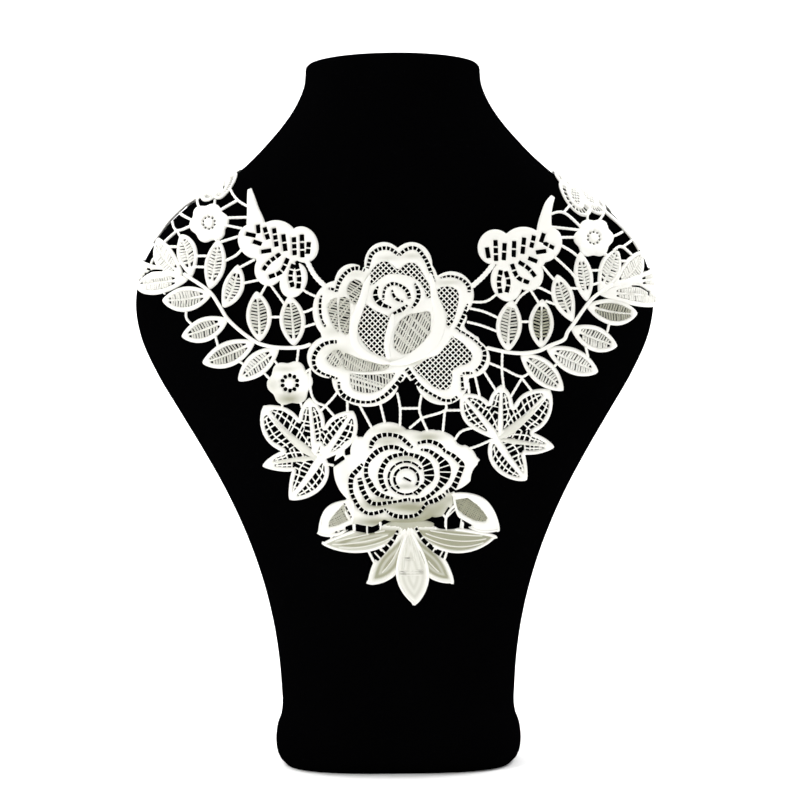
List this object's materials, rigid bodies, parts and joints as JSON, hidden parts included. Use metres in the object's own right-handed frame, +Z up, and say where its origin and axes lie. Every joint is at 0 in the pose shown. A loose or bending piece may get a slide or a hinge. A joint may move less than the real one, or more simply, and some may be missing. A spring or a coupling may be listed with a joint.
{
  "type": "lace collar on a display bust",
  "caption": "Ivory floral guipure lace collar with roses and leaf sprays, lying over the shoulders of a black velvet necklace bust.",
  "frame": {"origin": "centre of the bust's flat foot, on the surface that it stands on", "axes": "+Z up the bust's axis to the neck, -Y to the front, where the collar shows; +X to the right as seen from the front"},
  "size_m": [0.2718, 0.1177, 0.3595],
  "materials": {
    "lace": "ivory rayon thread, satin-stitched, soft sheen",
    "velvet": "black velvet over a hard shell"
  },
  "bodies": {
    "root": {"display_bust": "velvet", "upper_rose": "lace", "lower_rose": "lace", "lily_left": "lace", "lily_right": "lace", "palm_leaf_left": "lace", "palm_leaf_right": "lace", "daisy_upper_left": "lace", "daisy_upper_right": "lace", "daisy_lower_left": "lace", "leaf_spray_left": "lace", "leaf_spray_right": "lace", "leaf_tail": "lace", "shoulder_piece_left": "lace", "shoulder_piece_right": "lace"}
  },
  "joints": []
}
